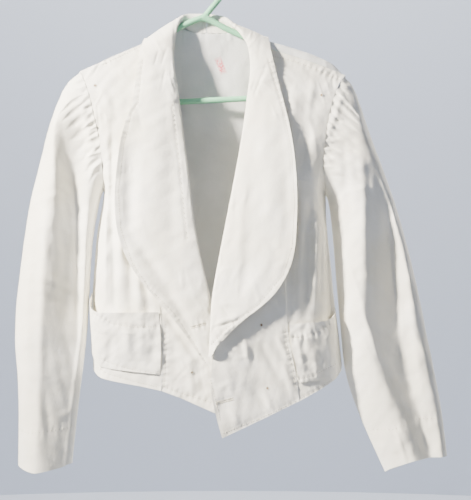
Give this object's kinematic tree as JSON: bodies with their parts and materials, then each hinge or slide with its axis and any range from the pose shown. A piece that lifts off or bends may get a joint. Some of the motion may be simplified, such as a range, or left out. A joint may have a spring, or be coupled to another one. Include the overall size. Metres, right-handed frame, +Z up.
{
  "type": "jacket on a hanger",
  "caption": "Cropped shawl-collar jacket in white cotton with gathered sleeve heads and patch pockets, hanging open on a tubular plastic hanger with a hook.",
  "frame": {"origin": "top of the hook's inside, where it rests on a rod", "axes": "+Z up, +X to the wearer's left, -Y towards the viewer of the front"},
  "size_m": [0.6581, 0.1113, 0.7828],
  "materials": {
    "white_cotton": "matt twill",
    "lightened_cotton": "matt twill, seen from inside",
    "mint_plastic": "smooth moulded"
  },
  "bodies": {
    "root": {"back": "lightened_cotton", "front_centre_left": "white_cotton", "front_side_left": "white_cotton", "front_centre_right": "white_cotton", "front_side_right": "white_cotton", "collar_left": "white_cotton", "collar_right": "white_cotton", "sleeve_left": "white_cotton", "sleeve_right": "white_cotton", "pocket_left": "white_cotton", "pocket_right": "white_cotton", "hanger": "mint_plastic"}
  },
  "joints": []
}
